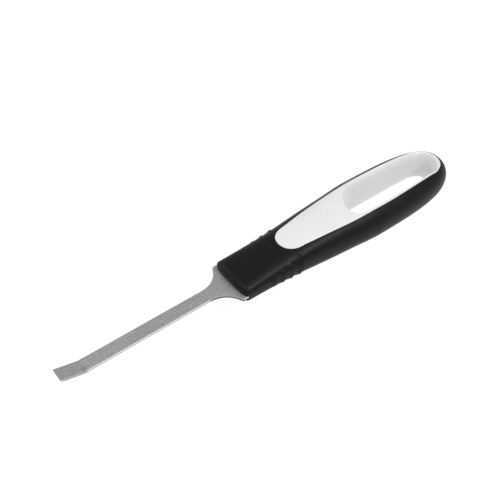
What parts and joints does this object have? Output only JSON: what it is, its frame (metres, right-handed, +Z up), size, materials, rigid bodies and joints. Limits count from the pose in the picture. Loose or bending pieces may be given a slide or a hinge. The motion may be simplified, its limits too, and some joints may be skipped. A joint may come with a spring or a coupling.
{
  "type": "hoof knife",
  "caption": "Narrow flat steel hoof scraping blade with an upturned chisel tip, in a soft-grip handle with a through slot for hanging.",
  "frame": {"origin": "centre of the base of the bounding box, under the underside of the handle", "axes": "+X from the chisel tip towards the butt of the handle, +Y across the blade, +Z up out of the flat face that the tip bends towards"},
  "size_m": [0.2002, 0.03, 0.0208],
  "materials": {
    "blade": "satin",
    "handle_core": "gloss",
    "soft_grip": "satin"
  },
  "bodies": {
    "root": {"blade": "blade", "handle_core": "handle_core", "soft_grip": "soft_grip"}
  },
  "joints": []
}
